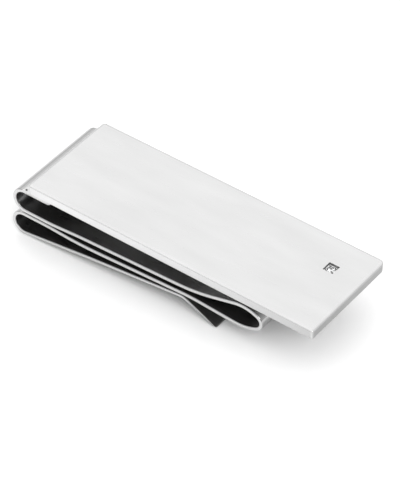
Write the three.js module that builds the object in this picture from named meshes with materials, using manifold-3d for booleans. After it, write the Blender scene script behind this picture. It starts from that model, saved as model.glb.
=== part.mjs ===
// Sprung money clip: a thick brushed plate with a small set stone, and one
// polished spring ribbon brazed under it and folded into two clipping slots.
//
// Lengths are in millimetres and angles in degrees. X runs along the plate
// from the bends to the free end, Y across it and Z up out of the plate's face.
// The model is drawn from the middle of the plate's top edge at the bend end,
// and moved at the end so that the origin is under the middle of the object.

import * as THREE from "three";
import { mergeVertices } from "three/addons/utils/BufferGeometryUtils.js";
import Module from "manifold-3d";

// ---- driving dimensions ---------------------------------------------------

const PLATE_LENGTH = 54;
const PLATE_WIDTH = 19;
const PLATE_THICKNESS = 1.7;
const PLATE_FRONT_CORNER = 0.45;    // corner radii at the free end, front and back
const PLATE_BACK_CORNER = 1.0;
const PLATE_BEND_CORNER = 0.5;      // corner radius at the bend end
const PLATE_EDGE = 0.2;             // softened edge all round both faces

const RIBBON_THICKNESS = 0.65;
const RIBBON_INSET = 0.175;         // each side of the ribbon, in from the plate
const BRAZE_THICKNESS = 0.05;
const BRAZE_MARGIN = 0.3;           // braze film's edge, in from the foot's edges
const FOOT_END = 4.0;               // end of the foot under the plate

const UPPER_BEND_X = -1.04;         // centres of the two end bends
const UPPER_BEND_INNER = 1.7;       // and their inner radii
const LOWER_BEND_X = -1.47;
const LOWER_BEND_INNER = 1.63;

const CREST_GAP = 0.5;              // loop's top under the plate: the card slot's mouth
const LEAF_GAP = 0.18;              // between the two bends, where the leaves touch
const KNEE_GAP = 0.06;              // lower leaf under the return leaf: the note slot's mouth

const LOOP_REACH = 44.51;           // strip's middle at the loop's nose
const NOSE_RADIUS = 1.39;
const CREST_RADIUS = 6;
const BELLY_RADIUS = 7.5;
const KNEE_RADIUS = 2.5;
const KNEE_X = 29.86;
const TAB_END = 36.2;
const TAB_DROP = 2.88;              // tab's tip under the knee

const STONE_DIAMETER = 1.3;
const STONE_CROWN = 0.2;
const STONE_GIRDLE = 0.05;
const STONE_PAVILION = 0.56;
const STONE_TABLE_SHARE = 0.57;     // table's width as a share of the stone's
const TABLE_DEPTH = 0.26;           // table, under the plate's face
const SEAT_CLEARANCE = 0.03;
const BEAD_RADIUS = 0.2;
const BEAD_DEPTH = 0.06;            // bead tops, under the plate's face
const BEAD_CLEARANCE = 0.03;        // between a bead's shank and the stone
const SETTING_MARGIN = 0.28;        // square recess, each side of the stone
const SETTING_CLEARANCE = 0.02;
const POCKET_DEPTH = 1.3;
const POCKET_FROM_END = 5.7;        // recess centre, in from the free end
const POCKET_OFF_CENTRE = 3.35;     // and towards the back edge

const ARC_STEP = 6;                 // largest turn between two points of a bend

// ---- values worked out from them -------------------------------------------

const HALF = RIBBON_THICKNESS / 2;
const RIBBON_WIDTH = PLATE_WIDTH - 2 * RIBBON_INSET;
const UPPER_RADIUS = UPPER_BEND_INNER + HALF;
const LOWER_RADIUS = LOWER_BEND_INNER + HALF;
const FOOT_Z = -(PLATE_THICKNESS + BRAZE_THICKNESS + HALF);
const UPPER_LEAF_Z = FOOT_Z - 2 * UPPER_RADIUS;
const CREST_Z = -(PLATE_THICKNESS + CREST_GAP + HALF);
const RETURN_LEAF_Z = UPPER_LEAF_Z - RIBBON_THICKNESS - LEAF_GAP;
const LOWER_BEND_Z = RETURN_LEAF_Z - LOWER_RADIUS;
const POCKET_SIZE = STONE_DIAMETER + 2 * SETTING_MARGIN;
const TABLE_Z = -TABLE_DEPTH;
const GIRDLE_TOP_Z = TABLE_Z - STONE_CROWN;
const GIRDLE_Z = GIRDLE_TOP_Z - STONE_GIRDLE;
const STONE_X = PLATE_LENGTH - POCKET_FROM_END;
const STONE_Y = POCKET_OFF_CENTRE;

const radians = THREE.MathUtils.degToRad;

// ---- ribbon centreline -----------------------------------------------------
// The strip's middle line is a run of straight lines. Each corner of it is
// rounded by its own radius, and some corners start a new section of the strip.

function heightOn(a, b, x) {
  return a.z + ((b.z - a.z) * (x - a.x)) / (b.x - a.x);
}

function turnAt(before, corner, after) {
  const arriving = Math.atan2(corner.z - before.z, corner.x - before.x);
  const leaving = Math.atan2(after.z - corner.z, after.x - corner.x);
  return Math.atan2(Math.sin(leaving - arriving), Math.cos(leaving - arriving));
}

// Two corners that round into one bend of more or less half a turn about
// (x, z), leaving it towards the point `exit`.
function endBend(x, z, radius, exit, starts, startsAfter) {
  const reach = Math.hypot(exit.x - x, exit.z - z);
  const heading = Math.atan2(exit.z - z, exit.x - x) + Math.asin(radius / reach);
  const drop = radius * Math.tan((Math.PI / 2 + heading) / 2);
  return [
    { x: x - radius, z: z + radius, radius, starts },
    { x: x - radius, z: z - drop, radius, startsAfter },
  ];
}

function ribbonCorners() {
  const leafStart = { x: 4.28, z: UPPER_LEAF_Z, radius: 25 };
  const leafLift = { x: 9.5, z: UPPER_LEAF_Z + 0.44, radius: 60 };
  const rise = { x: 32.2, z: UPPER_LEAF_Z + 1.41, radius: 30, starts: "loop_crest" };
  const crest = { x: 41.55, z: CREST_Z + 0.36, radius: CREST_RADIUS };
  const noseTop = { x: LOOP_REACH, z: crest.z - 1.35, starts: "loop_nose" };
  const noseFoot = { x: LOOP_REACH, z: RETURN_LEAF_Z + 1.74, startsAfter: "loop_belly" };
  const belly = { x: 41.77, z: RETURN_LEAF_Z + 0.18, radius: BELLY_RADIUS };
  const peak = { x: 31.38, z: RETURN_LEAF_Z + 0.8, radius: 30, starts: "return_leaf" };
  const trough = { x: 9.77, z: RETURN_LEAF_Z - 0.33, radius: 60 };
  const leafEnd = { x: 3.5, z: RETURN_LEAF_Z, radius: 25 };

  // The nose is one round bend, unless the loop is too tall for its radius.
  const upperTurn = Math.abs(turnAt(crest, noseTop, noseFoot));
  const lowerTurn = Math.abs(turnAt(noseTop, noseFoot, belly));
  const noseRoom = (noseTop.z - noseFoot.z) / (Math.tan(upperTurn / 2) + Math.tan(lowerTurn / 2));
  noseTop.radius = Math.min(NOSE_RADIUS, noseRoom);
  noseFoot.radius = noseTop.radius;

  const kneeZ = heightOn(trough, peak, KNEE_X) - RIBBON_THICKNESS - KNEE_GAP;
  const knee = { x: KNEE_X, z: kneeZ, radius: KNEE_RADIUS, starts: "release_tab" };
  const chordStart = { x: LOWER_BEND_X, z: LOWER_BEND_Z - LOWER_RADIUS };
  const bow = { x: 12, z: heightOn(chordStart, knee, 12) + 0.17, radius: 60 };
  const tip = { x: TAB_END, z: knee.z - TAB_DROP };

  const flatExit = { x: leafStart.x, z: UPPER_LEAF_Z };
  const upperZ = FOOT_Z - UPPER_RADIUS;
  const upperBend = endBend(UPPER_BEND_X, upperZ, UPPER_RADIUS, flatExit, "upper_bend", "upper_leaf");
  const lowerBend = endBend(LOWER_BEND_X, LOWER_BEND_Z, LOWER_RADIUS, bow, "lower_bend", "lower_leaf");
  return [
    { x: FOOT_END, z: FOOT_Z },
    ...upperBend,
    leafStart, leafLift, rise, crest, noseTop, noseFoot, belly, peak, trough, leafEnd,
    ...lowerBend,
    bow, knee, tip,
  ];
}

// Points of one rounded corner, each with the strip's heading there.
function roundedCorner(before, corner, after) {
  const arriving = Math.atan2(corner.z - before.z, corner.x - before.x);
  const turn = turnAt(before, corner, after);
  const side = Math.sign(turn);
  const tangent = corner.radius * Math.tan(Math.abs(turn) / 2);
  const startX = corner.x - tangent * Math.cos(arriving);
  const startZ = corner.z - tangent * Math.sin(arriving);
  const centreX = startX - side * corner.radius * Math.sin(arriving);
  const centreZ = startZ + side * corner.radius * Math.cos(arriving);
  const steps = Math.max(2, Math.ceil(Math.abs(turn) / radians(ARC_STEP)));
  const points = [];
  for (let i = 0; i <= steps; i++) {
    const heading = arriving + (turn * i) / steps;
    const x = centreX + side * corner.radius * Math.sin(heading);
    const z = centreZ - side * corner.radius * Math.cos(heading);
    points.push({ x, z, heading });
  }
  return points;
}

// The strip's sections, by name, each a list of points with headings.
// Neighbouring sections share the point where one ends and the next starts.
function ribbonSections() {
  const corners = ribbonCorners();
  const first = corners[0];
  const sections = new Map();
  let points = [{ ...first, heading: Math.PI }];
  sections.set("ribbon_foot", points);
  const startSection = (name, point) => {
    points = [point];
    sections.set(name, points);
  };
  for (let i = 1; i < corners.length - 1; i++) {
    const corner = corners[i];
    const arc = roundedCorner(corners[i - 1], corner, corners[i + 1]);
    points.push(arc[0]);
    if (corner.starts) startSection(corner.starts, arc[0]);
    points.push(...arc.slice(1));
    if (corner.startsAfter) startSection(corner.startsAfter, arc[arc.length - 1]);
  }
  const last = corners[corners.length - 1];
  points.push({ x: last.x, z: last.z, heading: points[points.length - 1].heading });
  return sections;
}

// ---- solids ----------------------------------------------------------------

const wasm = await Module();
wasm.setup();

function toManifold(geometry) {
  const bare = geometry.clone();
  bare.deleteAttribute("normal");
  bare.deleteAttribute("uv");
  const merged = mergeVertices(bare);
  const vertProperties = new Float32Array(merged.attributes.position.array);
  const triVerts = new Uint32Array(merged.index.array);
  return new wasm.Manifold(new wasm.Mesh({ numProp: 3, vertProperties, triVerts }));
}

function toGeometry(manifold) {
  const mesh = manifold.getMesh();
  const geometry = new THREE.BufferGeometry();
  geometry.setAttribute("position", new THREE.BufferAttribute(mesh.vertProperties, 3));
  geometry.setIndex(new THREE.BufferAttribute(mesh.triVerts, 1));
  return geometry;
}

function boxFrom(low, high) {
  const box = new THREE.BoxGeometry(high[0] - low[0], high[1] - low[1], high[2] - low[2]);
  return box.translate((low[0] + high[0]) / 2, (low[1] + high[1]) / 2, (low[2] + high[2]) / 2);
}

// A solid of revolution about Z. A lathe turns about Y, so it is stood up.
function turned(profile, sides) {
  const points = profile.map(([radius, height]) => new THREE.Vector2(radius, height));
  return new THREE.LatheGeometry(points, sides).rotateX(Math.PI / 2);
}

function plateOutline() {
  const halfWidth = PLATE_WIDTH / 2;
  const front = PLATE_FRONT_CORNER;
  const back = PLATE_BACK_CORNER;
  const bend = PLATE_BEND_CORNER;
  const outline = new THREE.Shape();
  outline.absarc(PLATE_LENGTH - front, front - halfWidth, front, -Math.PI / 2, 0);
  outline.absarc(PLATE_LENGTH - back, halfWidth - back, back, 0, Math.PI / 2);
  outline.absarc(bend, halfWidth - bend, bend, Math.PI / 2, Math.PI);
  outline.absarc(bend, bend - halfWidth, bend, Math.PI, 1.5 * Math.PI);
  outline.closePath();
  return outline;
}

function frontPlate() {
  const slab = new THREE.ExtrudeGeometry(plateOutline(), {
    depth: PLATE_THICKNESS - 2 * PLATE_EDGE,
    bevelThickness: PLATE_EDGE,
    bevelSize: PLATE_EDGE,
    bevelOffset: -PLATE_EDGE,
    bevelSegments: 3,
    curveSegments: 8,
  }).translate(0, 0, PLATE_EDGE - PLATE_THICKNESS);
  const half = POCKET_SIZE / 2;
  const pocket = boxFrom(
    [STONE_X - half, STONE_Y - half, -POCKET_DEPTH],
    [STONE_X + half, STONE_Y + half, 1],
  );
  return toGeometry(toManifold(slab).subtract(toManifold(pocket)));
}

function ribbonSection(points) {
  const side = (point, offset) => new THREE.Vector2(
    point.x - offset * Math.sin(point.heading),
    point.z + offset * Math.cos(point.heading),
  );
  const left = points.map((point) => side(point, HALF));
  const right = points.map((point) => side(point, -HALF)).reverse();
  const outline = new THREE.Shape([...left, ...right]);
  return new THREE.ExtrudeGeometry(outline, { depth: RIBBON_WIDTH, bevelEnabled: false })
    .rotateX(Math.PI / 2)
    .translate(0, RIBBON_WIDTH / 2, 0);
}

function brazeJoint() {
  const halfWidth = RIBBON_WIDTH / 2 - BRAZE_MARGIN;
  return boxFrom(
    [BRAZE_MARGIN, -halfWidth, -PLATE_THICKNESS - BRAZE_THICKNESS],
    [FOOT_END - BRAZE_MARGIN, halfWidth, -PLATE_THICKNESS],
  );
}

function stone() {
  const radius = STONE_DIAMETER / 2;
  return turned([
    [0, GIRDLE_Z - STONE_PAVILION],
    [radius, GIRDLE_Z],
    [radius, GIRDLE_TOP_Z],
    [radius * STONE_TABLE_SHARE, TABLE_Z],
    [0, TABLE_Z],
  ], 16).translate(STONE_X, STONE_Y, 0);
}

// Square collet that fills the recess: a coned seat and a bead at each corner.
function stoneSetting() {
  const half = POCKET_SIZE / 2 - SETTING_CLEARANCE;
  const seatRadius = STONE_DIAMETER / 2 + SEAT_CLEARANCE;
  const coneDepth = STONE_PAVILION * (seatRadius / (STONE_DIAMETER / 2));
  const block = toManifold(boxFrom([-half, -half, -POCKET_DEPTH], [half, half, GIRDLE_Z]));
  const cone = toManifold(turned([
    [0, GIRDLE_Z - coneDepth],
    [seatRadius, GIRDLE_Z],
    [seatRadius, 0],
    [0, 0],
  ], 32));
  const beadTop = -BEAD_DEPTH;
  const bead = toManifold(turned([
    [0, GIRDLE_Z - BEAD_RADIUS],
    [BEAD_RADIUS, GIRDLE_Z - BEAD_RADIUS],
    ...[0, 1, 2, 3].map((i) => {
      const angle = radians(i * 22.5);
      return [BEAD_RADIUS * Math.cos(angle), beadTop - BEAD_RADIUS * (1 - Math.sin(angle))];
    }),
    [0, beadTop],
  ], 16));
  const reach = (seatRadius + BEAD_CLEARANCE + BEAD_RADIUS) / Math.SQRT2;
  let setting = block.subtract(cone);
  for (const x of [-reach, reach]) {
    for (const y of [-reach, reach]) setting = setting.add(bead.translate([x, y, 0]));
  }
  return toGeometry(setting).translate(STONE_X, STONE_Y, 0);
}

// ---- assembly --------------------------------------------------------------

const FINISHES = {
  brushed: { color: 0xdcdcda, roughness: 0.35, metalness: 1 },
  polished: { color: 0xd6d7d8, roughness: 0.08, metalness: 1 },
  braze: { color: 0xb9b6ae, roughness: 0.4, metalness: 1 },
  stone: { color: 0xf2f5f7, roughness: 0.02, metalness: 0 },
};

const clip = new THREE.Group();

function addPiece(name, geometry, finish) {
  const mesh = new THREE.Mesh(geometry, new THREE.MeshStandardMaterial(FINISHES[finish]));
  mesh.name = name;
  clip.add(mesh);
}

addPiece("front_plate", frontPlate(), "brushed");
addPiece("stone_setting", stoneSetting(), "polished");
addPiece("stone", stone(), "stone");
addPiece("braze_joint", brazeJoint(), "braze");
for (const [name, points] of ribbonSections()) addPiece(name, ribbonSection(points), "polished");

// The origin goes under the middle of the whole object.
const box = new THREE.Box3().setFromObject(clip);
clip.position.set(-(box.min.x + box.max.x) / 2, -(box.min.y + box.max.y) / 2, -box.min.z);

export default clip;
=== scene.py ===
"""Looks of a sprung money clip: a satin plate with a small set stone, over one folded, polished strip.

Shapes are worked out in millimetres in the drawing's own frame, whose origin is the middle of the plate's
top edge at the bend end: x runs along the plate, y across it and z up out of its face. placed() carries
them to the model's frame, in metres.
"""

import math

import bpy
import numpy as np
from mathutils import Matrix, Vector


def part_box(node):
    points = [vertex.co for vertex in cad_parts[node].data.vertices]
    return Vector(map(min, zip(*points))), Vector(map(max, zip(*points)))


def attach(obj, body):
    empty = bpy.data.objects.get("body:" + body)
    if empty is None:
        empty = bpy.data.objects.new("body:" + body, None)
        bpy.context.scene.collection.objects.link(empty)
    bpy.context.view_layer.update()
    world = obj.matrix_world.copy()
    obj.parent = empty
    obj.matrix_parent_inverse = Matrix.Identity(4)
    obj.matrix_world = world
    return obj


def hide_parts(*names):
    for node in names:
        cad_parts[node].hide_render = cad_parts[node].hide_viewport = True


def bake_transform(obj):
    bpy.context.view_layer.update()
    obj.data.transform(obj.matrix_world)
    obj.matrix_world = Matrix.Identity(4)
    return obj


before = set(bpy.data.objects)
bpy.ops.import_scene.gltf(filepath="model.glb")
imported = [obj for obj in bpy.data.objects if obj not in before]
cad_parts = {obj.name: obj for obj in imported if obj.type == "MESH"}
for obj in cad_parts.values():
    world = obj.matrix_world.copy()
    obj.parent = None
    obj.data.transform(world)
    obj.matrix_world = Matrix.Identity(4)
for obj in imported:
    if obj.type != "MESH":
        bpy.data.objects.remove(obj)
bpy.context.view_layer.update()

# ---- sizes, in millimetres --------------------------------------------------

MM = 0.001


def corners_of(node):
    """A drawn node's lowest and highest corners."""
    return [np.array(corner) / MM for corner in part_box(node)]


PLATE_LOW, PLATE_HIGH = corners_of("front_plate")
FOOT_LOW, FOOT_HIGH = corners_of("ribbon_foot")
NOSE_HIGH = corners_of("loop_nose")[1]
STONE_LOW, STONE_HIGH = corners_of("stone")
SETTING_LOW, SETTING_HIGH = corners_of("stone_setting")
ORIGIN = np.array([PLATE_LOW[0], (PLATE_LOW[1] + PLATE_HIGH[1]) / 2, PLATE_HIGH[2]])

PLATE_LENGTH, PLATE_WIDTH, PLATE_THICKNESS = PLATE_HIGH - PLATE_LOW
FREE_FRONT_CORNER = 0.45    # the plate's corners, seen from above
FREE_BACK_CORNER = 1.0
BEND_CORNER = 0.5
PLATE_EDGE = 0.2            # height of the softened top edge
PLATE_SHOULDER = 0.5        # how far in from the side that softening starts
UNDER_EDGE = 0.14           # rounding of the bottom edge
SIDE_BULGE = 0.03           # how far the sides draw in towards the bottom
RECESS_CORNER = 0.08        # the recess's corners, seen from above
RECESS_RIM = 0.04           # rounding of the recess's rim

# How bright the plate is, from 0 to 1, partly as polish and partly as painted light and shade, and where each
# change starts and is full, as depth or as x.
TOP_POLISH = 0.406
# The sides are brighter than the face: partly a brighter polish, partly painted light.
SIDE_POLISH_AND_PAINTED_LIGHT = 0.87
SIDE_SPAN = (0.12, 0.27)    # from the face's polish to the sides', by depth
SIDE_PAINTED_SHADE = 0.47            # painted shade: what the sides lose towards the free end
SIDE_PAINTED_SHADE_SPAN = (12.0, PLATE_LENGTH - 1.0)
BEND_PAINTED_SHADE = 0.12            # painted shade towards the bend end
BEND_PAINTED_SHADE_SPAN = (9.0, 0.0)
# Where the free end's cut face is painted darker, as painted shade.
CUT_END_SHADE_SPAN = (PLATE_LENGTH - 0.25, PLATE_LENGTH - 0.05)
CORNER_HIGHLIGHT = 0.22           # painted highlight: what the four upright corners gain

STRIP_WIDTH = FOOT_HIGH[1] - FOOT_LOW[1]
STRIP_THICKNESS = FOOT_HIGH[2] - FOOT_LOW[2]
HALF = STRIP_THICKNESS / 2
STRIP_EDGE = 0.17           # rounding of the strip's long edges
RIM_HIGHLIGHT_START = 0.06       # how far in from the sides the painted highlight along the rims starts
RIM_HIGHLIGHT_FULL = 0.01        # and is full
BUFFED_AND_PAINTED_BENDS = (8.0, 2.0)   # the x at which the end bends' outer faces start and finish being buffed smoother and painted paler, as painted light
BUFFED_AND_PAINTED_LOOP = (37.0, 41.0)  # and the same at the loop
LEAF_THINNING = 0.3         # share of the thickness lost from the return leaf to the tab's tip
TAB_THINNING = 0.45         # and the further share that the tip has lost to the grinder
TAB_LENGTH = 6.5
TIP_CORNER = 0.45           # the tab's corners, seen from above
TIP_ROUND = 0.2             # rounding of the tab's end edges
FOOT_CORNER = 0.3           # the same two at the foot
FOOT_ROUND = 0.7

FOOT_END = FOOT_HIGH[0] - ORIGIN[0]
FOOT_Z = (FOOT_LOW[2] + FOOT_HIGH[2]) / 2 - ORIGIN[2]
UPPER_BEND_X = -1.04        # the end bends' centres and radii, and the leaves' heights, on the middle line
UPPER_RADIUS = 1.7 + HALF
LOWER_BEND_X = -1.47
LOWER_RADIUS = 1.63 + HALF
UPPER_LEAF_Z = FOOT_Z - 2 * UPPER_RADIUS
CREST_Z = -(PLATE_THICKNESS + 0.5 + HALF)
LEAF_GAP = 0.18             # between the two end bends
KNEE_GAP = 0.06             # between the return leaf and the knee
RETURN_LEAF_Z = UPPER_LEAF_Z - STRIP_THICKNESS - LEAF_GAP
LOWER_BEND_Z = RETURN_LEAF_Z - LOWER_RADIUS
LOOP_REACH = NOSE_HIGH[0] - ORIGIN[0] - HALF
NOSE_RADIUS = 1.39
KNEE_X = 29.86              # where the lower leaf turns down into the tab
TAB_END = 36.2
TAB_DROP = 2.88
FIRST_CUT_X = 26.0          # where the strip's three meshes meet, on straight stretches
SECOND_CUT_X = 14.0

STONE_X = (STONE_LOW[0] + STONE_HIGH[0]) / 2 - ORIGIN[0]
STONE_Y = (STONE_LOW[1] + STONE_HIGH[1]) / 2 - ORIGIN[1]
STONE_RADIUS = (STONE_HIGH[0] - STONE_LOW[0]) / 2
TABLE_Z = STONE_HIGH[2] - ORIGIN[2]
CULET_Z = STONE_LOW[2] - ORIGIN[2]
TABLE_RADIUS = 0.57 * STONE_RADIUS
GIRDLE_TOP_Z = TABLE_Z - 0.2
GIRDLE_Z = GIRDLE_TOP_Z - 0.05
COLLET_TOP_Z = -0.3
COLLET_GAP = 0.02           # between the collet and the recess's walls
SEAT_GAP = 0.03             # between the stone and its seat
BEAD_RADIUS = 0.18
BEAD_TOP_Z = -0.06
BEAD_OFF_CENTRE = STONE_RADIUS + 0.12
RECESS_HALF = (SETTING_HIGH[0] - SETTING_LOW[0]) / 2 + COLLET_GAP
RECESS_DEPTH = ORIGIN[2] - SETTING_LOW[2]

BRAZE_FILM = 0.05           # thickness of the braze between the foot and the plate
BRAZE_INSET = 0.02          # how far the dressed braze lies inside the plate's sides
PINHOLE_RADIUS = 0.25
PINHOLE_DEPTH = 0.7


def placed(points):
    """Points of the drawing, in millimetres, carried to the model's frame, in metres."""
    return (ORIGIN + np.asarray(points, float)) * MM


def between(values, start, end):
    """0 up to start, 1 from end on and straight between them. end may be the smaller of the two."""
    return np.clip((values - start) / (end - start), 0.0, 1.0)


# ---- meshes -----------------------------------------------------------------

SHARP_ANGLE = math.radians(35.0)    # edges of the braze and the setting that turn by more stay crisp


def grid_quads(rows, columns):
    """Quads of a grid numbered row by row, whose columns close on themselves."""
    row = np.arange(rows - 1)[:, None] * columns
    near = np.arange(columns)[None, :]
    far = (near + 1) % columns
    quads = np.stack([row + near, row + columns + near, row + columns + far, row + far], axis=-1)
    return quads.reshape(-1, 4).tolist()


def grid_with_poles(rows, columns):
    """The grid's quads and a fan at each end, round the two points that are numbered after the grid."""
    near = np.arange(columns)
    far = np.roll(near, -1)
    last = (rows - 1) * columns
    first_pole = np.full(columns, rows * columns)
    first_fan = np.column_stack((first_pole, near, far))
    last_fan = np.column_stack((first_pole + 1, last + far, last + near))
    return grid_quads(rows, columns) + first_fan.tolist() + last_fan.tolist()


def make_piece(name, points, faces, materials, smooth=True, face_material=None):
    """A mesh object at the origin, with its place in its mesh. The drawing's points become metres here."""
    mesh = bpy.data.meshes.new(name)
    mesh.from_pydata(placed(points).tolist(), [], faces)
    for material in materials:
        mesh.materials.append(material)
    mesh.polygons.foreach_set("use_smooth", np.full(len(faces), smooth))
    if face_material is not None:
        mesh.polygons.foreach_set("material_index", np.asarray(face_material, np.int32))
    mesh.update()
    piece = bpy.data.objects.new(name, mesh)
    bpy.context.scene.collection.objects.link(piece)
    return piece


def put_attribute(piece, name, kind, values):
    """Stores one value or vector at each point of a piece, for its finish to read."""
    attribute = piece.data.attributes.new(name, kind, "POINT")
    field = "vector" if kind == "FLOAT_VECTOR" else "value"
    attribute.data.foreach_set(field, np.asarray(values, np.float32).ravel())


# ---- finishes ---------------------------------------------------------------

def new_finish(name):
    """An empty finish: its material, its node tree and its shader."""
    material = bpy.data.materials.new(name)
    material.use_nodes = True
    shader = material.node_tree.nodes["Principled BSDF"]
    return material, material.node_tree, shader


def add_node(tree, kind, **settings):
    """A new node of that kind with those settings."""
    node = tree.nodes.new(kind)
    for key, value in settings.items():
        setattr(node, key, value)
    return node


def object_place(tree):
    """Where each point lies in the model's frame, in metres."""
    return add_node(tree, "ShaderNodeTexCoord").outputs["Object"]


def stored(tree, name, output="Fac"):
    """What put_attribute() stored under that name."""
    return add_node(tree, "ShaderNodeAttribute", attribute_name=name).outputs[output]


def grain(tree, source, scale, detail=3.0, roughness=0.5):
    """Noise over coordinates stretched by scale, a number along each axis in cycles per unit."""
    stretch = add_node(tree, "ShaderNodeMapping")
    stretch.inputs["Scale"].default_value = scale
    noise = add_node(tree, "ShaderNodeTexNoise", noise_dimensions="3D")
    noise.inputs["Scale"].default_value = 1.0
    noise.inputs["Detail"].default_value = detail
    noise.inputs["Roughness"].default_value = roughness
    tree.links.new(source, stretch.inputs["Vector"])
    tree.links.new(stretch.outputs["Vector"], noise.inputs["Vector"])
    return noise.outputs["Fac"]


def remap(tree, value, low, high, to_low, to_high):
    """value's range low to high carried to to_low to to_high, held at the ends."""
    node = add_node(tree, "ShaderNodeMapRange", clamp=True)
    node.inputs["From Min"].default_value = low
    node.inputs["From Max"].default_value = high
    node.inputs["To Min"].default_value = to_low
    node.inputs["To Max"].default_value = to_high
    tree.links.new(value, node.inputs["Value"])
    return node.outputs["Result"]


def spread(tree, noise, low, high):
    """A noise's usual range, 0.3 to 0.7, carried to low to high."""
    return remap(tree, noise, 0.3, 0.7, low, high)


def combine(tree, operation, first, second):
    """Two values, each a number or a socket, combined by one operation."""
    node = add_node(tree, "ShaderNodeMath", operation=operation)
    for socket, value in zip(node.inputs, (first, second)):
        if isinstance(value, (int, float)):
            socket.default_value = value
        else:
            tree.links.new(value, socket)
    return node.outputs["Value"]


def tint(tree, value, dark, bright):
    """A colour between dark and bright as value goes from 0 to 1. A single number is a grey."""
    ramp = add_node(tree, "ShaderNodeValToRGB")
    for element, tone in zip(ramp.color_ramp.elements, (dark, bright)):
        element.color = (*np.broadcast_to(tone, 3).tolist(), 1.0)
    tree.links.new(value, ramp.inputs["Fac"])
    return ramp.outputs["Color"]


def relief(tree, shader, height, depth):
    """Relief from a height of 0 to 1, which stands for depth in metres."""
    bump = add_node(tree, "ShaderNodeBump")
    bump.inputs["Distance"].default_value = depth
    tree.links.new(height, bump.inputs["Height"])
    tree.links.new(bump.outputs["Normal"], shader.inputs["Normal"])


def satin_plate():
    """Steel brushed along x: hair lines and soft cloudy patches. Its brightness is stored on the plate's
    points, partly as polish and partly as painted light and shade, and "rubbed_edge" is where handling has
    smoothed it."""
    material, tree, shader = new_finish("satin_plate")
    place = object_place(tree)
    lines = grain(tree, place, (150.0, 9000.0, 9000.0), detail=4.0)
    clouds = grain(tree, place, (70.0, 260.0, 260.0), detail=2.0)
    fine = combine(tree, "MULTIPLY", lines, 0.25)
    broad = combine(tree, "MULTIPLY", clouds, 0.75)
    streaks = spread(tree, combine(tree, "ADD", fine, broad), -0.045, 0.045)
    # The stored brightness: polish, with painted light and shade on the sides, the cut end and the corners.
    level = combine(tree, "ADD", stored(tree, "polish_and_painted_light"), streaks)
    tree.links.new(tint(tree, level, 0.33, 0.85), shader.inputs["Base Color"])
    dull = spread(tree, lines, 0.27, 0.35)
    shine = remap(tree, stored(tree, "rubbed_edge"), 0.0, 1.0, 0.0, 0.14)
    tree.links.new(combine(tree, "SUBTRACT", dull, shine), shader.inputs["Roughness"])
    shader.inputs["Metallic"].default_value = 1.0
    relief(tree, shader, lines, 0.0000007)
    return material


def polished_strip():
    """Spring steel polished along its length: faint drawn lines and smudges. It carries a painted highlight
    along its rims, and the outer faces of its bends are painted paler, as painted light, and buffed smoother."""
    material, tree, shader = new_finish("polished_strip")
    unrolled = stored(tree, "unrolled", "Vector")
    lines = grain(tree, unrolled, (0.25, 9.0, 9.0), detail=4.0)
    smudges = grain(tree, unrolled, (0.22, 0.35, 0.35))
    buffed_and_painted_light = stored(tree, "buffed_and_painted_light")
    drawn = spread(tree, lines, 0.0, 0.105)
    # Painted highlight along the strip's rims.
    rim_highlight_tone = combine(tree, "MULTIPLY", stored(tree, "rim_painted_highlight"), 0.9)
    pale = combine(tree, "MAXIMUM", rim_highlight_tone, combine(tree, "MULTIPLY", buffed_and_painted_light, 0.31))
    level = combine(tree, "ADD", drawn, pale)
    # Away from the outer bends the strip is left darker, partly as painted shade inside the slots.
    tree.links.new(tint(tree, level, 0.28, 0.64), shader.inputs["Base Color"])
    base = remap(tree, buffed_and_painted_light, 0.0, 1.0, 0.26, 0.06)
    hazy = remap(tree, smudges, 0.35, 0.75, 0.0, 0.08)
    marked = combine(tree, "ADD", hazy, spread(tree, lines, 0.0, 0.05))
    tree.links.new(combine(tree, "ADD", base, marked), shader.inputs["Roughness"])
    shader.inputs["Metallic"].default_value = 1.0
    relief(tree, shader, lines, 0.0000012)
    return material


def worked_metal(name, scale, tones, roughness, depth, detail=3.0):
    """Metal whose tool marks set its tone, its roughness and its relief. Tones and roughness are each a
    least and a greatest value."""
    material, tree, shader = new_finish(name)
    marks = grain(tree, object_place(tree), scale, detail)
    tree.links.new(tint(tree, spread(tree, marks, 0.0, 1.0), *tones), shader.inputs["Base Color"])
    tree.links.new(spread(tree, marks, *roughness), shader.inputs["Roughness"])
    shader.inputs["Metallic"].default_value = 1.0
    relief(tree, shader, marks, depth)
    return material


def bright_cut():
    """Bright cut metal round the stone, with fine graver marks."""
    return worked_metal("bright_cut", (6000.0, 9000.0, 4000.0), (0.62, 0.76), (0.12, 0.26), 0.000002)


def burnished_bead_painted_shade():
    """The round beads, smooth from the burnisher and painted dark grey as the shade at the recess's corners.
    """
    return worked_metal("burnished_bead_painted_shade", (4000.0,) * 3, (0.26, 0.36), (0.12, 0.24), 0.000002, detail=2.0)


def dull_seat_painted_shade():
    """The recess's walls and the cone under the stone: unpolished, and painted dark as the shade in the
    recess and under the stone.
    """
    return worked_metal("dull_seat_painted_shade", (7000.0,) * 3, (0.20, 0.30), (0.3, 0.5), 0.000004)


def silver_braze():
    """Dull silver braze: fine pits and a slightly warm, uneven tone."""
    material, tree, shader = new_finish("silver_braze")
    place = object_place(tree)
    pits = grain(tree, place, (5000.0,) * 3, detail=4.0, roughness=0.6)
    patches = grain(tree, place, (900.0,) * 3, detail=2.0)
    colour = tint(tree, spread(tree, patches, 0.0, 1.0), (0.62, 0.618, 0.615), (0.68, 0.678, 0.675))
    tree.links.new(colour, shader.inputs["Base Color"])
    tree.links.new(spread(tree, pits, 0.28, 0.42), shader.inputs["Roughness"])
    shader.inputs["Metallic"].default_value = 1.0
    relief(tree, shader, pits, 0.000004)
    return material


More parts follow.
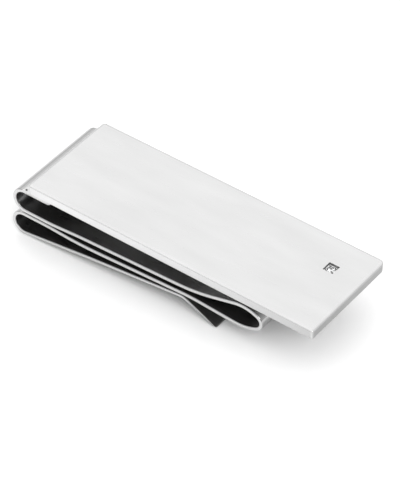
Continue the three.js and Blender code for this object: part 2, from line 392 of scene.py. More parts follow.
def clear_stone(name):
    """An empty finish of clear stone, still without its colour and roughness."""
    material, tree, shader = new_finish(name)
    shader.inputs["Transmission Weight"].default_value = 1.0
    shader.inputs["IOR"].default_value = 2.16
    return material, tree, shader


def stone_facets():
    """The stone's cut facets, with the faintest polishing haze."""
    material, tree, shader = clear_stone("stone_facets")
    haze = grain(tree, object_place(tree), (9000.0,) * 3, detail=2.0)
    tree.links.new(remap(tree, haze, 0.4, 0.7, 0.0, 0.02), shader.inputs["Roughness"])
    shader.inputs["Base Color"].default_value = (0.985, 0.99, 1.0, 1.0)
    return material


def stone_girdle():
    """The stone's ground, frosted girdle."""
    material, tree, shader = clear_stone("stone_girdle")
    frost = grain(tree, object_place(tree), (40000.0,) * 3, detail=2.0)
    tree.links.new(spread(tree, frost, 0.35, 0.6), shader.inputs["Roughness"])
    shader.inputs["Base Color"].default_value = (0.95, 0.96, 0.98, 1.0)
    relief(tree, shader, frost, 0.000002)
    return material


def white_table():
    """Matt white surface under the clip."""
    material, tree, shader = new_finish("white_table")
    fibre = grain(tree, object_place(tree), (300.0,) * 3)
    colour = tint(tree, spread(tree, fibre, 0.0, 1.0), 0.865, 0.875)
    tree.links.new(colour, shader.inputs["Base Color"])
    shader.inputs["Roughness"].default_value = 0.9
    shader.inputs["Specular IOR Level"].default_value = 0.0
    return material


# ---- spring strip -----------------------------------------------------------
# The strip's middle line is a run of straight lines whose corners are rounded,
# each by its own radius, as (x, z, radius). The meshes are cut between them.

ARC_STEP = math.radians(2.0)
STRAIGHT_STEP = 0.8
LEAST_STEP = 0.003          # points closer together than this become one


def height_on(a, b, x):
    """The z at x of the straight line through a and b."""
    return a[1] + (b[1] - a[1]) * (x - a[0]) / (b[0] - a[0])


def end_bend(x, z, radius, exit_x, exit_z):
    """Two corners that round into one bend about (x, z), leaving it towards the exit point."""
    reach = math.hypot(exit_x - x, exit_z - z)
    heading = math.atan2(exit_z - z, exit_x - x) + math.asin(radius / reach)
    drop = radius * math.tan((math.pi / 2 + heading) / 2)
    return [(x - radius, z + radius, radius), (x - radius, z - drop, radius)]


def strip_runs():
    """The corners of the middle line, as three lists that share the points where the meshes meet."""
    leaf_start = (4.28, UPPER_LEAF_Z, 25.0)
    leaf_lift = (9.5, UPPER_LEAF_Z + 0.44, 60.0)
    rise = (32.2, UPPER_LEAF_Z + 1.41, 30.0)
    crest = (41.55, CREST_Z + 0.36, 6.0)
    nose_top = (LOOP_REACH, crest[1] - 1.35, NOSE_RADIUS)
    nose_foot = (LOOP_REACH, RETURN_LEAF_Z + 1.74, NOSE_RADIUS)
    belly = (41.77, RETURN_LEAF_Z + 0.18, 7.5)
    peak = (31.38, RETURN_LEAF_Z + 0.8, 30.0)
    trough = (9.77, RETURN_LEAF_Z - 0.33, 60.0)
    leaf_end = (3.5, RETURN_LEAF_Z, 25.0)
    knee = (KNEE_X, height_on(trough, peak, KNEE_X) - STRIP_THICKNESS - KNEE_GAP, 2.5)
    low_point = (LOWER_BEND_X, LOWER_BEND_Z - LOWER_RADIUS)
    bow = (12.0, height_on(low_point, knee, 12.0) + 0.17, 60.0)
    tip = (TAB_END, knee[1] - TAB_DROP, 0.0)
    first_cut = (FIRST_CUT_X, height_on(leaf_lift, rise, FIRST_CUT_X), 0.0)
    second_cut = (SECOND_CUT_X, height_on(trough, peak, SECOND_CUT_X), 0.0)
    upper_z = FOOT_Z - UPPER_RADIUS
    upper_bend = end_bend(UPPER_BEND_X, upper_z, UPPER_RADIUS, leaf_start[0], UPPER_LEAF_Z)
    lower_bend = end_bend(LOWER_BEND_X, LOWER_BEND_Z, LOWER_RADIUS, bow[0], bow[1])
    return [
        [(FOOT_END, FOOT_Z, 0.0), *upper_bend, leaf_start, leaf_lift, first_cut],
        [first_cut, rise, crest, nose_top, nose_foot, belly, peak, second_cut],
        [second_cut, trough, leaf_end, *lower_bend, bow, knee, tip],
    ]


def end_marks(rounding, corner):
    """Distances from a rounded end at which its edges' rounding and its corners need a point each."""
    quarter = np.linspace(0.0, math.pi / 2, 8)[1:]
    return np.concatenate([rounding * (1 - np.cos(quarter)), corner * (1 - np.cos(quarter))])


def apart(marks):
    """The marks in order, without those that nearly coincide."""
    marks = np.unique(marks)
    return marks[np.concatenate([[True], np.diff(marks) > LEAST_STEP])]


def middle_line(corners, end_steps=()):
    """Points (x, z, heading) of a run of corners: each corner is an arc that meets its straight lines
    smoothly, and long straight lines are divided evenly. end_steps are further points close to the last
    end (or the first, where negative), given as distances from it."""
    flat = np.array([corner[:2] for corner in corners])
    headings = np.arctan2(*np.diff(flat, axis=0)[:, ::-1].T)
    parts = []
    start = flat[0]
    for i, heading in enumerate(headings):
        along = np.array([math.cos(heading), math.sin(heading)])
        turn, tangent = 0.0, 0.0
        if i + 1 < len(headings):
            turn = (headings[i + 1] - heading + math.pi) % (2 * math.pi) - math.pi
            tangent = corners[i + 1][2] * math.tan(abs(turn) / 2)
        end = flat[i + 1] - along * tangent
        length = float(np.linalg.norm(end - start))
        marks = [np.linspace(0.0, length, max(2, math.ceil(length / STRAIGHT_STEP) + 1))]
        if i == 0:
            marks.append([-step for step in end_steps if step < 0])
        if i == len(headings) - 1:
            marks.append([length - step for step in end_steps if step > 0])
        marks = apart(np.concatenate(marks))
        line = start + marks[:, None] * along
        parts.append(np.column_stack([line, np.full(len(marks), heading)]))
        if turn:
            side = math.copysign(1.0, turn)
            radius = corners[i + 1][2]
            centre = end + side * radius * np.array([-along[1], along[0]])
            angles = heading + turn * np.linspace(0.0, 1.0, max(3, math.ceil(abs(turn) / ARC_STEP) + 1))
            arc = centre + side * radius * np.column_stack([np.sin(angles), -np.cos(angles)])
            parts[-1] = parts[-1][:-1]
            parts.append(np.column_stack([arc, angles])[:-1])
            start = arc[-1]
    return np.concatenate(parts)


def rounded_ring(edge_points=6, beside=0.03):
    """One turn round a rounded rectangle, as the four edges' arcs. Each point is (side across, side up,
    cosine, sine, shift across, shift up): its edge's centre, its place on the arc, and how far a point
    lies beside the arc, so that the flats shade flat."""
    quarter = np.linspace(0.0, math.pi / 2, edge_points)
    rows = []
    for corner, (across, up) in enumerate([(1, 1), (-1, 1), (-1, -1), (1, -1)]):
        angles = quarter + corner * math.pi / 2
        tangent = np.column_stack([-np.sin(angles), np.cos(angles)])
        doubled = np.concatenate([[0], np.arange(edge_points), [edge_points - 1]])
        moved = np.zeros((edge_points + 2, 2))
        moved[0] = -beside * tangent[0]
        moved[-1] = beside * tangent[-1]
        centre = np.full((edge_points + 2, 2), (across, up), float)
        rows.append(np.column_stack([centre, np.cos(angles[doubled]), np.sin(angles[doubled]), moved]))
    return np.concatenate(rows)


def shrink(distance, length, depth):
    """How much narrower a rounded end is at a distance from it: a quarter ellipse of that length and
    depth."""
    inside = np.clip(1 - distance / length, 0.0, 1.0)
    return depth * (1 - np.sqrt(1 - inside ** 2))


def strip_piece(name, corners, length_before, outside,
                rounded_end=None, rounding=TIP_ROUND, corner=TIP_CORNER, tapered=False):
    """The strip's rounded cross-section carried along its middle line, with a flat cap at each end.
    outside is the side, +1 or -1, that is buffed smoother and painted paler at the bends, as painted light.
    rounded_end is 0 or -1 for the end whose edges and corners are rounded off.
    of the distance along, and more over the tab's length."""
    steps = end_marks(rounding, corner)
    marks = () if rounded_end is None else (-steps if rounded_end == 0 else steps)
    line = middle_line(corners, marks)
    reach = np.concatenate([[0.0], np.cumsum(np.linalg.norm(np.diff(line[:, :2], axis=0), axis=1))])
    from_end = np.full(len(line), np.inf)
    if rounded_end is not None:
        from_end = np.abs(reach - reach[rounded_end])
    half_width = STRIP_WIDTH / 2 - shrink(from_end, corner, corner)
    half_width = half_width - shrink(from_end, STRIP_EDGE, STRIP_EDGE)
    tab = between(reach, reach[-1] - TAB_LENGTH, reach[-1]) * tapered
    half_thick = HALF * (1 - tapered * LEAF_THINNING * (reach / reach[-1]) ** 2 - TAB_THINNING * tab ** 1.5)
    half_thick = half_thick - shrink(from_end, rounding, min(rounding, 0.6 * HALF))
    edge = np.minimum(STRIP_EDGE, 0.8 * half_thick)

    ring = rounded_ring()
    beside = np.minimum(1.0, half_thick / HALF)[:, None]
    across = ring[:, 0] * (half_width - edge)[:, None] + ring[:, 2] * edge[:, None] + ring[:, 4] * beside
    up = ring[:, 1] * (half_thick - edge)[:, None] + ring[:, 3] * edge[:, None] + ring[:, 5] * beside
    x, z, heading = (column[:, None] for column in line.T)
    points = np.stack([x - up * np.sin(heading), -across, z + up * np.cos(heading)], axis=-1)
    rows, columns = across.shape
    faces = grid_quads(rows, columns)
    last = (rows - 1) * columns
    faces.append(list(range(columns)))
    faces.append(list(range(last, last + columns))[::-1])
    piece = make_piece(name, points.reshape(-1, 3), faces, [POLISHED_STRIP])
    sharpen_caps(piece, columns, last)
    along = np.broadcast_to((length_before + reach)[:, None], across.shape)
    put_attribute(piece, "unrolled", "FLOAT_VECTOR", np.stack([along, across, up], axis=-1))
    sides = half_width[:, None]
    # A painted highlight along the rims, faded out along the tab as painted shade.
    rim_painted_highlight = between(np.abs(across), sides - RIM_HIGHLIGHT_START, sides - RIM_HIGHLIGHT_FULL)
    put_attribute(piece, "rim_painted_highlight", "FLOAT", rim_painted_highlight * (1 - tab[:, None] ** 0.7))
    # Outer faces of the bends: buffed smoother, and painted paler as painted light.
    round_bends = np.maximum(between(x, *BUFFED_AND_PAINTED_BENDS), between(x, *BUFFED_AND_PAINTED_LOOP))
    put_attribute(piece, "buffed_and_painted_light", "FLOAT", round_bends * between(outside * up, -HALF / 2, HALF / 2))
    return piece, length_before + reach[-1]


def sharpen_caps(piece, columns, last):
    """Keeps the two flat end caps, which are the last two faces, from shading into the strip's sides."""
    mesh = piece.data
    smooth = np.ones(len(mesh.polygons), bool)
    smooth[-2:] = False
    mesh.polygons.foreach_set("use_smooth", smooth)
    ends = np.zeros(2 * len(mesh.edges), np.int32)
    mesh.edges.foreach_get("vertices", ends)
    ends = ends.reshape(-1, 2)
    mesh.edges.foreach_set("use_edge_sharp", (ends < columns).all(axis=1) | (ends >= last).all(axis=1))
    mesh.update()


def bend_with(piece):
    """Bakes the piece's place into its mesh."""
    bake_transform(piece)


# ---- plate ------------------------------------------------------------------

def outline_depth(x, y, half_x, half_y, corner):
    """Signed distance from a rounded rectangle about the origin: negative inside it."""
    beyond_x = np.abs(x) - half_x + corner
    beyond_y = np.abs(y) - half_y + corner
    outside = np.hypot(np.maximum(beyond_x, 0), np.maximum(beyond_y, 0))
    return outside + np.minimum(np.maximum(beyond_x, beyond_y), 0) - corner


def corner_radius(x, y):
    """The radius of the plate's corner that is nearest to each point."""
    free_end = np.where(y < 0, FREE_FRONT_CORNER, FREE_BACK_CORNER)
    return np.where(x < PLATE_LENGTH / 2, BEND_CORNER, free_end)


def plate_depth(x, y):
    """Signed distance from the plate's outline."""
    return outline_depth(x - PLATE_LENGTH / 2, y, PLATE_LENGTH / 2, PLATE_WIDTH / 2, corner_radius(x, y))


def recess_depth(x, y):
    """Signed distance from the recess's outline."""
    return outline_depth(x - STONE_X, y - STONE_Y, RECESS_HALF, RECESS_HALF, RECESS_CORNER)


def on_rays(depth, angles, level):
    """Points where rays from the stone's centre reach the given distance from an outline, by halving."""
    near = np.zeros_like(angles)
    far = np.full_like(angles, 2 * PLATE_LENGTH)
    for _ in range(48):
        middle = (near + far) / 2
        inside = depth(STONE_X + middle * np.cos(angles), STONE_Y + middle * np.sin(angles)) < level
        near = np.where(inside, middle, near)
        far = np.where(inside, far, middle)
    return STONE_X + near * np.cos(angles), STONE_Y + near * np.sin(angles)


def corner_points(low, high, corners, steps, beside):
    """Points at a rounded rectangle's corners: each corner's arc, and a point beside each end of it."""
    points = []
    centres = [(high[0], high[1]), (low[0], high[1]), (low[0], low[1]), (high[0], low[1])]
    for turn, ((x, y), radius) in enumerate(zip(centres, corners)):
        across = (-1, 1, 1, -1)[turn] * radius
        up = (-1, -1, 1, 1)[turn] * radius
        angles = turn * math.pi / 2 + np.linspace(0.0, math.pi / 2, steps)
        arc = np.array([x + across, y + up]) + radius * np.column_stack([np.cos(angles), np.sin(angles)])
        tangent = np.column_stack([-np.sin(angles), np.cos(angles)])
        points += [arc, arc[:1] - beside * tangent[:1], arc[-1:] + beside * tangent[-1:]]
    return np.concatenate(points)


def plate_polish_and_painted_light(x, y, z):
    """How bright each point is: even on the face; brighter on the sides, partly as polish and partly as
    painted light, with painted shade towards both ends and most towards the free one, and on the free
    end's cut face; and a painted highlight on the upright corners, by the product of how far round the
    corner a point lies along x and along y."""
    side = between(-z, *SIDE_SPAN)
    cut_end_shade = between(x, *CUT_END_SHADE_SPAN)
    radius = corner_radius(x, y)
    round_x = between(np.abs(x - PLATE_LENGTH / 2), PLATE_LENGTH / 2 - radius, PLATE_LENGTH / 2)
    round_y = between(np.abs(y), PLATE_WIDTH / 2 - radius, PLATE_WIDTH / 2)
    fade = SIDE_PAINTED_SHADE * between(x, *SIDE_PAINTED_SHADE_SPAN) ** 1.5 + BEND_PAINTED_SHADE * between(x, *BEND_PAINTED_SHADE_SPAN)
    level = (SIDE_POLISH_AND_PAINTED_LIGHT - fade) * (1 - cut_end_shade) + 2 * CORNER_HIGHLIGHT * round_x * round_y
    return TOP_POLISH + side * (level - TOP_POLISH)


def plate_rays():
    """Angles about the stone's centre: through the points of the plate's and the recess's corners, and at
    even steps along the plate's sides."""
    low, high = (0.0, -PLATE_WIDTH / 2), (PLATE_LENGTH, PLATE_WIDTH / 2)
    corners = (FREE_BACK_CORNER, BEND_CORNER, BEND_CORNER, FREE_FRONT_CORNER)
    outer = corner_points(low, high, corners, 10, 0.04)
    sides_x = np.linspace(1.0, PLATE_LENGTH - 1.2, 60)
    sides_y = np.linspace(low[1] + 1.2, high[1] - 1.2, 20)
    long_sides = [np.column_stack([sides_x, np.full_like(sides_x, y)]) for y in (low[1], high[1])]
    short_sides = [np.column_stack([np.full_like(sides_y, x), sides_y]) for x in (low[0], high[0])]
    recess_low = (STONE_X - RECESS_HALF, STONE_Y - RECESS_HALF)
    recess_high = (STONE_X + RECESS_HALF, STONE_Y + RECESS_HALF)
    inner = corner_points(recess_low, recess_high, (RECESS_CORNER,) * 4, 5, 0.02)
    seen = np.concatenate([outer, *long_sides, *short_sides, inner]) - (STONE_X, STONE_Y)
    return np.unique(np.round(np.arctan2(seen[:, 1], seen[:, 0]), 5))


def plate_rings():
    """The plate's rings in order, each as (outline, distance from it, z, how rubbed it is from 0 to 1). A
    ring just beside each rounded edge keeps the flats shading flat."""
    quarter = np.linspace(0.0, math.pi / 2, 10)
    under = -PLATE_THICKNESS
    rings = [(recess_depth, 0.0, -RECESS_DEPTH, 0.0), (recess_depth, 0.0, -RECESS_RIM - 0.02, 0.0)]
    for a in quarter:
        rings.append((recess_depth, RECESS_RIM * (1 - math.cos(a)), -RECESS_RIM * (1 - math.sin(a)), 1.0))
    rings.append((recess_depth, RECESS_RIM + 0.02, 0.0, 0.0))
    rings.append((plate_depth, -PLATE_SHOULDER - 0.05, 0.0, 0.0))
    for a in quarter:
        z = -PLATE_EDGE * (1 - math.cos(a))
        rings.append((plate_depth, -PLATE_SHOULDER * (1 - math.sin(a)), z, math.sin(2 * a) ** 0.5))
    drop = PLATE_THICKNESS - PLATE_EDGE - UNDER_EDGE
    for share in np.linspace(0.0, 1.0, 6)[1:]:
        rings.append((plate_depth, -SIDE_BULGE * share ** 2, -PLATE_EDGE - drop * share, 0.0))
    for a in quarter[1:]:
        z = under + UNDER_EDGE * (1 - math.sin(a))
        rings.append((plate_depth, -SIDE_BULGE - UNDER_EDGE * (1 - math.cos(a)), z, 0.0))
    rings.append((plate_depth, -SIDE_BULGE - UNDER_EDGE - 0.04, under, 0.0))
    return rings


def front_plate():
    """Rings carried outwards along rays from the stone's centre: up the recess wall, over its rim, across
    the flat face, round the edge and under the plate. Each ring keeps one distance from an outline."""
    angles = plate_rays()
    rings = plate_rings()
    columns = len(angles)
    points, rubbed = [], []
    for depth, level, z, rubbing in rings:
        x, y = on_rays(depth, angles, level)
        points.append(np.column_stack([x, y, np.full_like(x, z)]))
        rubbed.append(np.full(columns, rubbing))
    points.append([[STONE_X, STONE_Y, -RECESS_DEPTH], [PLATE_LENGTH / 2, 0.0, -PLATE_THICKNESS]])
    rubbed.append([0.0, 0.0])
    points = np.concatenate(points)
    faces = grid_with_poles(len(rings), columns)
    finish = np.zeros(len(faces), int)
    # The recess wall takes the finish painted dark as shade.
    finish[:columns] = 1
    piece = make_piece("satin_front_plate", points, faces, [SATIN_PLATE, DULL_SEAT_PAINTED_SHADE], face_material=finish)
    put_attribute(piece, "polish_and_painted_light", "FLOAT", plate_polish_and_painted_light(*points.T))
    put_attribute(piece, "rubbed_edge", "FLOAT", np.concatenate(rubbed))
    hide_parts("front_plate")
    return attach(piece, "front")


# ---- braze ------------------------------------------------------------------

def bar_along(profile, stations, sizes, anchor, axis):
    """A closed bar: one outline carried straight along y (axis 1) or x (axis 0). At each station the
    outline is drawn in towards its anchor point to that station's size."""
    outline = anchor + sizes[:, None, None] * (profile - anchor)
    rows, columns = outline.shape[:2]
    place = np.broadcast_to(stations[:, None], (rows, columns))
    across, z = outline[..., 0], outline[..., 1]
    order = (across, place, z) if axis == 1 else (place, across, z)
    faces = grid_quads(rows, columns)
    faces.append(list(range(columns)))
    faces.append(list(range((rows - 1) * columns, rows * columns))[::-1])
    return np.stack(order, axis=-1).reshape(-1, 3), faces


def with_pinhole(points, faces, columns, centre):
    """Opens the bar's first cap into a small pit: the cap's outline runs in to a slightly oval ring about
    the centre, then down to two narrower rings, and closes at the pit's bottom. The oval's radius grows
    and shrinks by a quarter as the cosine of twice the turn."""
    from_centre = points[:columns] - centre
    turn = np.arctan2(from_centre[:, 2], from_centre[:, 0])
    radius = PINHOLE_RADIUS * (1 + 0.25 * np.cos(2 * turn - 1.6))
    oval = np.column_stack([radius * np.cos(turn), np.zeros(columns), radius * np.sin(turn)])
    inwards = np.array([0.0, PINHOLE_DEPTH, 0.0])
    rings = [centre + size * oval + sunk * inwards for size, sunk in ((1.0, 0.0), (0.92, 0.15), (0.75, 0.85))]
    first = len(points)
    walls = np.array(grid_quads(len(rings) + 1, columns))[:, ::-1]
    walls = np.where(walls < columns, walls, walls + first - columns)
    near = first + 2 * columns + np.arange(columns)
    bottom = np.full(columns, first + 3 * columns)
    floor = np.column_stack((bottom, near, np.roll(near, -1)))
    faces = [face for face in faces if face != list(range(columns))]
    points = np.concatenate([points, *rings, [centre + inwards]])
    return points, faces + walls.tolist() + floor.tolist()


def joined(parts):
    """Several closed shells as one list of points and one of faces."""
    points, faces, first = [], [], 0
    for part_points, part_faces in parts:
        points.append(part_points)
        faces += [[first + i for i in face] for face in part_faces]
        first += len(part_points)
    return np.concatenate(points), faces


def hollow_fillet(inside, outside, fullness, steps=12):
    """A fillet's curve between two points (x, z): a straight line that sags at its middle by fullness times
    its length, as half a sine wave, squared."""
    share = np.linspace(0.0, 1.0, steps)[:, None]
    inside, outside = np.array(inside), np.array(outside)
    run = outside - inside
    across = np.array([run[1], -run[0]])
    return inside + share * run + fullness * np.sin(math.pi * share) ** 2 * across


def braze_fillet():
    """Braze round the foot: a fillet from the plate's end down to the top of the upper bend, a ramp off the
    foot's end, both dressed flush with the sides, and a thin fillet under each long edge of the plate. A
    pinhole is left in the end fillet's front side."""
    under = -PLATE_THICKNESS
    joint_z = under - BRAZE_FILM
    flush = PLATE_WIDTH / 2 - BRAZE_INSET
    end_y = np.array([-flush, -flush + 0.03, -flush + 0.1, flush - 0.1, flush - 0.03, flush])

    end_curve = hollow_fillet((0.12, -0.3), (-1.25, joint_z + 0.03), -0.05)
    end_profile = np.concatenate([[(0.45, -0.24)], end_curve, [(-1.2, joint_z - 0.2), (0.45, joint_z - 0.2)]])
    end_size = np.array([0.97, 0.992, 1.0, 1.0, 0.992, 0.97])
    end_bar = bar_along(end_profile, end_y, end_size, np.array([-0.3, joint_z + 0.5]), 1)
    end_bar = with_pinhole(*end_bar, len(end_profile), np.array([-0.31, -flush, -1.22]))

    heel = FOOT_END - 0.75
    slope = hollow_fillet((heel, under - STRIP_THICKNESS + 0.1), (FOOT_END + 0.7, under + 0.02), 0.04)
    ramp_profile = np.concatenate([slope, [(heel, under + 0.02)]])
    ramp_size = np.array([0.55, 0.85, 1.0, 1.0, 0.85, 0.55])
    ramp = bar_along(ramp_profile, 0.992 * end_y, ramp_size, np.array([FOOT_END - 0.6, joint_z + 0.1]), 1)

    edge = np.array([PLATE_WIDTH / 2, joint_z])
    edge_profile = edge + [
        (-0.08, 0.37), (-0.04, 0.1), (-0.05, -0.3), (-0.16, -0.5), (-0.4, -0.5), (-0.4, 0.37),
    ]
    edge_x = np.array([-1.0, -0.8, -0.4, FOOT_END - 0.5, FOOT_END + 0.1, FOOT_END + 0.4])
    edge_size = np.array([0.3, 0.8, 1.0, 1.0, 0.7, 0.1])
    back_bar = bar_along(edge_profile, edge_x, edge_size, edge + (-0.3, 0.1), 0)
    front_bar = (back_bar[0] * (1, -1, 1), [face[::-1] for face in back_bar[1]])

    points, faces = joined([end_bar, ramp, front_bar, back_bar])
    piece = make_piece("braze_fillet", points, faces, [SILVER_BRAZE])
    piece.data.set_sharp_from_angle(angle=SHARP_ANGLE)
    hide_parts("braze_joint")
    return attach(piece, "front")


# ---- stone and its setting --------------------------------------------------

def around(count, radius, z, first_turn=0.0):
    """Points evenly round the stone's axis, turned by first_turn of a step."""
    angles = 2 * math.pi * (np.arange(count) + first_turn) / count
    ring = np.column_stack([radius * np.cos(angles), radius * np.sin(angles), np.full(count, z)])
    return ring + (STONE_X, STONE_Y, 0.0)


def brilliant():
    """A round brilliant: table, 8 stars, 8 kites and 16 upper halves over the girdle, and 16 lower halves
    and 8 mains under it. Each kite or main is a plane through the table's edge or the culet and the
    girdle, so its side corners, half a step round, lie that plane's height at their own distance."""
    half_step = math.cos(math.pi / 8)
    crown_slope = (TABLE_Z - GIRDLE_TOP_Z) / (STONE_RADIUS - TABLE_RADIUS)
    pavilion_slope = (GIRDLE_Z - CULET_Z) / STONE_RADIUS
    star_radius = 0.5 * (TABLE_RADIUS + STONE_RADIUS)
    star_z = TABLE_Z - (star_radius * half_step - TABLE_RADIUS) * crown_slope
    main_radius = 0.24 * STONE_RADIUS
    main_z = GIRDLE_Z - (STONE_RADIUS - main_radius * half_step) * pavilion_slope
    points = np.concatenate([
        around(8, TABLE_RADIUS, TABLE_Z),
        around(8, star_radius, star_z, 0.5),
        around(16, STONE_RADIUS, GIRDLE_TOP_Z),
        around(16, STONE_RADIUS, GIRDLE_Z),
        around(8, main_radius, main_z, 0.5),
        around(1, 0.0, CULET_Z),
    ])
    k = np.arange(8)
    after = (k + 1) % 8
    table, star, upper, lower, main, culet = 0, 8, 16, 32, 48, np.full(8, 56)
    on_kite, beside, on_next = 2 * k, 2 * k + 1, 2 * after
    faces = [list(range(8))]
    for corners in (
        (table + after, table + k, star + k),
        (table + after, star + k, upper + on_next, star + after),
        (star + k, upper + on_kite, upper + beside),
        (star + k, upper + beside, upper + on_next),
        (lower + beside, lower + on_kite, main + k),
        (lower + on_next, lower + beside, main + k),
        (culet, main + after, lower + on_next, main + k),
    ):
        faces += np.column_stack(corners).tolist()
    girdle = np.arange(16)
    beyond = (girdle + 1) % 16
    faces += np.column_stack((upper + girdle, lower + girdle, lower + beyond, upper + beyond)).tolist()
    finish = np.zeros(len(faces), int)
    finish[-16:] = 1
    finishes = [STONE_FACETS, STONE_GIRDLE]
    piece = make_piece("round_stone", points, faces, finishes, smooth=False, face_material=finish)
    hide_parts("stone")
    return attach(piece, "front")


def turned(profile, centre, columns=32):
    """A profile of (radius, z) turned about an upright axis; its ends lie on the axis and become poles."""
    angles = 2 * math.pi * np.arange(columns) / columns
    inner = np.array(profile[1:-1])
    x = centre[0] + inner[:, :1] * np.cos(angles)
    y = centre[1] + inner[:, :1] * np.sin(angles)
    z = np.broadcast_to(inner[:, 1:], x.shape)
    points = np.stack([x, y, z], axis=-1).reshape(-1, 3)
    poles = np.array([[*centre, profile[0][1]], [*centre, profile[-1][1]]])
    return np.concatenate([points, poles]), grid_with_poles(len(inner), columns)


def stone_setting():
    """A collet that fills the recess, with a coned seat for the stone, and a round bead at each corner. The
    collet's rings are round by the stone and follow the recess's outline outside."""
    seat = STONE_RADIUS + SEAT_GAP
    seat_pole = GIRDLE_Z - (GIRDLE_Z - CULET_Z) * seat / STONE_RADIUS
    beside_corners = [middle + side for middle in (45.0, 135.0, 225.0, 315.0) for side in (-2.0, 2.0)]
    angles = np.radians(np.concatenate([np.arange(0.0, 360.0, 5.0), beside_corners]))
    angles = np.unique(np.round(angles, 6))
    rings = []
    for radius, z in (
        (0.02, seat_pole + 0.02),
        (seat, GIRDLE_Z),
        (seat + 0.01, COLLET_TOP_Z - 0.03),
        (seat + 0.04, COLLET_TOP_Z),
    ):
        x, y = STONE_X + radius * np.cos(angles), STONE_Y + radius * np.sin(angles)
        rings.append(np.column_stack([x, y, np.full_like(x, z)]))
    for inset, z in ((0.03, COLLET_TOP_Z), (0.0, COLLET_TOP_Z - 0.03), (0.0, -RECESS_DEPTH)):
        x, y = on_rays(recess_depth, angles, -COLLET_GAP - inset)
        rings.append(np.column_stack([x, y, np.full_like(x, z)]))
    columns = len(angles)
    poles = np.array([[STONE_X, STONE_Y, seat_pole], [STONE_X, STONE_Y, -RECESS_DEPTH]])
    collet = (np.concatenate([*rings, poles]), grid_with_poles(len(rings), columns))

    turn = np.linspace(0.0, math.pi / 2, 9)
    dome = [(BEAD_RADIUS * math.sin(a), BEAD_TOP_Z - BEAD_RADIUS * (1 - math.cos(a))) for a in turn]
    dome += [(0.8 * BEAD_RADIUS, GIRDLE_Z - 0.1), (0.0, GIRDLE_Z - 0.1)]
    off = BEAD_OFF_CENTRE / math.sqrt(2)
    beads = [turned(dome, (STONE_X + a * off, STONE_Y + b * off)) for a in (-1, 1) for b in (-1, 1)]

    points, faces = joined([collet, *beads])
    quads = (len(rings) - 1) * columns
    finish = np.zeros(len(faces), int)
    # The seat's cone takes the finish painted dark as shade.
    finish[:columns] = 1
    finish[quads:quads + columns] = 1
    # The beads take the finish painted dark as shade.
    finish[quads + 2 * columns:] = 2
    finishes = [BRIGHT_CUT, DULL_SEAT_PAINTED_SHADE, BURNISHED_BEAD_PAINTED_SHADE]
    piece = make_piece("stone_collet", points, faces, finishes, face_material=finish)
    piece.data.set_sharp_from_angle(angle=SHARP_ANGLE)
    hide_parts("stone_setting")
    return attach(piece, "front")


# ---- build ------------------------------------------------------------------

SATIN_PLATE = satin_plate()
POLISHED_STRIP = polished_strip()
BRIGHT_CUT = bright_cut()
BURNISHED_BEAD_PAINTED_SHADE = burnished_bead_painted_shade()
DULL_SEAT_PAINTED_SHADE = dull_seat_painted_shade()
SILVER_BRAZE = silver_braze()
STONE_FACETS = stone_facets()
STONE_GIRDLE = stone_girdle()

first_run, second_run, third_run = strip_runs()
upper_strip, length = strip_piece(
    "strip_foot_to_upper_leaf", first_run, 0.0, -1, rounded_end=0, rounding=FOOT_ROUND, corner=FOOT_CORNER
)
loop_strip, length = strip_piece("strip_loop", second_run, length, 1)
lower_strip, length = strip_piece(
    "strip_return_leaf_to_tab", third_run, length, -1, rounded_end=-1, tapered=True
)
bend_with(upper_strip)
bend_with(loop_strip)
bend_with(lower_strip)
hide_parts("ribbon_foot", "upper_bend", "upper_leaf")
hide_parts("loop_crest", "loop_nose", "loop_belly", "return_leaf")
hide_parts("lower_bend", "lower_leaf", "release_tab")
front_plate()
braze_fillet()
stone_setting()
brilliant()


# ---- table, lights and camera -----------------------------------------------

TABLE_HALF = 1500.0          # half the table's side
TABLE_GAP = 0.02             # between the table and what stands on it
FRONT_WALL = 0.2             # brightness of what the clip reflects, all round it
BACK_WALL = 1.0
FRONT_CEILING = 1.55
BACK_CEILING = 1.6
FREE_SIDE_SHADE = 0.7        # share that is left of it on the free end's side
CAMERA_TURN = 36.99          # degrees round from straight in front, towards the free end
CAMERA_HEIGHT = 42.56        # degrees above level
CAMERA_DISTANCE = 0.4276     # metres, as the light's distance and size
CAMERA_AIM = (29.79, -4.77, 0.0)
CAMERA_LENS = 206.3


def table_top():
    """The white table, flat under the lower bend and the tab's tip. It stays with the lower arm."""
    bend_touch = (LOWER_BEND_X, LOWER_BEND_Z - LOWER_RADIUS - HALF)
    knee, tip = third_run[-2], third_run[-1]
    slope = math.atan2(tip[1] - knee[1], tip[0] - knee[0])
    half_tip = HALF * (1 - LEAF_THINNING - TAB_THINNING)
    tip_touch = (tip[0] + half_tip * math.sin(slope), tip[1] - half_tip * math.cos(slope))
    tilt = math.atan2(tip_touch[1] - bend_touch[1], tip_touch[0] - bend_touch[0])
    along = TABLE_HALF * np.array([math.cos(tilt), 0.0, math.sin(tilt)])
    across = np.array([0.0, TABLE_HALF, 0.0])
    middle = np.array([bend_touch[0], 0.0, bend_touch[1] - TABLE_GAP])
    corners = [middle + a * along + b * across for a, b in ((-1, -1), (1, -1), (1, 1), (-1, 1))]
    top = make_piece("table_top", corners, [[0, 1, 2, 3]], [white_table()], smooth=False)
    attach(top, "lower_arm")


def looking(back, place):
    """The place and turn of a light or a camera that looks from place, away from the direction back."""
    return Matrix.Translation(place) @ back.to_track_quat("Z", "Y").to_matrix().to_4x4()


def soft_box(name, direction, distance, size, radiance):
    """A square light that faces the clip from a direction, with the given radiance."""
    light = bpy.data.lights.new(name, "AREA")
    light.shape = "SQUARE"
    light.size = size
    light.energy = radiance * math.pi * size ** 2
    lamp = bpy.data.objects.new(name, light)
    back = Vector(direction).normalized()
    lamp.matrix_world = looking(back, back * distance)
    bpy.context.scene.collection.objects.link(lamp)


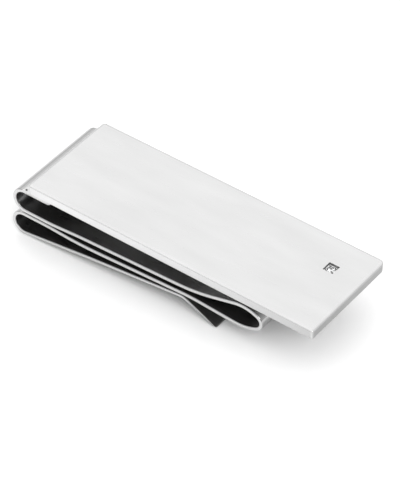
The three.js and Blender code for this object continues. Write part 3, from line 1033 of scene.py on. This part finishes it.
def surroundings():
    """A white ceiling over walls that are dim on the camera's side and pale behind the clip. The camera
    itself sees only plain white."""
    world = bpy.data.worlds.new("white_studio")
    world.use_nodes = True
    tree = world.node_tree
    background = tree.nodes["Background"]
    background.inputs["Color"].default_value = (1.0, 1.0, 1.0, 1.0)
    direction = add_node(tree, "ShaderNodeTexCoord").outputs["Generated"]
    parts = add_node(tree, "ShaderNodeSeparateXYZ")
    tree.links.new(direction, parts.inputs["Vector"])
    low = remap(tree, parts.outputs["Y"], -0.5, 0.4, FRONT_WALL, BACK_WALL)
    high = remap(tree, parts.outputs["Y"], -0.8, 0.2, FRONT_CEILING, BACK_CEILING)
    rise = remap(tree, parts.outputs["Z"], 0.15, 0.6, 0.0, 1.0)
    step = combine(tree, "MULTIPLY", combine(tree, "SUBTRACT", high, low), rise)
    shade = remap(tree, parts.outputs["X"], -0.3, 0.7, 1.0, FREE_SIDE_SHADE)
    glow = combine(tree, "MULTIPLY", combine(tree, "ADD", low, step), shade)
    seen = add_node(tree, "ShaderNodeLightPath").outputs["Is Camera Ray"]
    hidden = combine(tree, "MULTIPLY", glow, combine(tree, "SUBTRACT", 1.0, seen))
    tree.links.new(combine(tree, "ADD", hidden, seen), background.inputs["Strength"])
    bpy.context.scene.world = world


def camera():
    """A long lens that looks down on the clip's front, from the loop's side."""
    turn, height = math.radians(CAMERA_TURN), math.radians(CAMERA_HEIGHT)
    level = math.cos(height)
    back = Vector((math.sin(turn) * level, -math.cos(turn) * level, math.sin(height)))
    data = bpy.data.cameras.new("camera")
    data.sensor_width = 36.0
    data.lens = CAMERA_LENS
    data.clip_start = 0.01
    data.clip_end = 20.0
    seat = bpy.data.objects.new("camera", data)
    seat.matrix_world = looking(back, Vector(placed(CAMERA_AIM)) + back * CAMERA_DISTANCE)
    bpy.context.scene.collection.objects.link(seat)
    bpy.context.scene.camera = seat


table_top()
surroundings()
soft_box("key_light", (0.65, -0.4, 0.65), distance=0.7, size=0.3, radiance=6.0)
camera()
bpy.context.scene.view_settings.view_transform = "Standard"
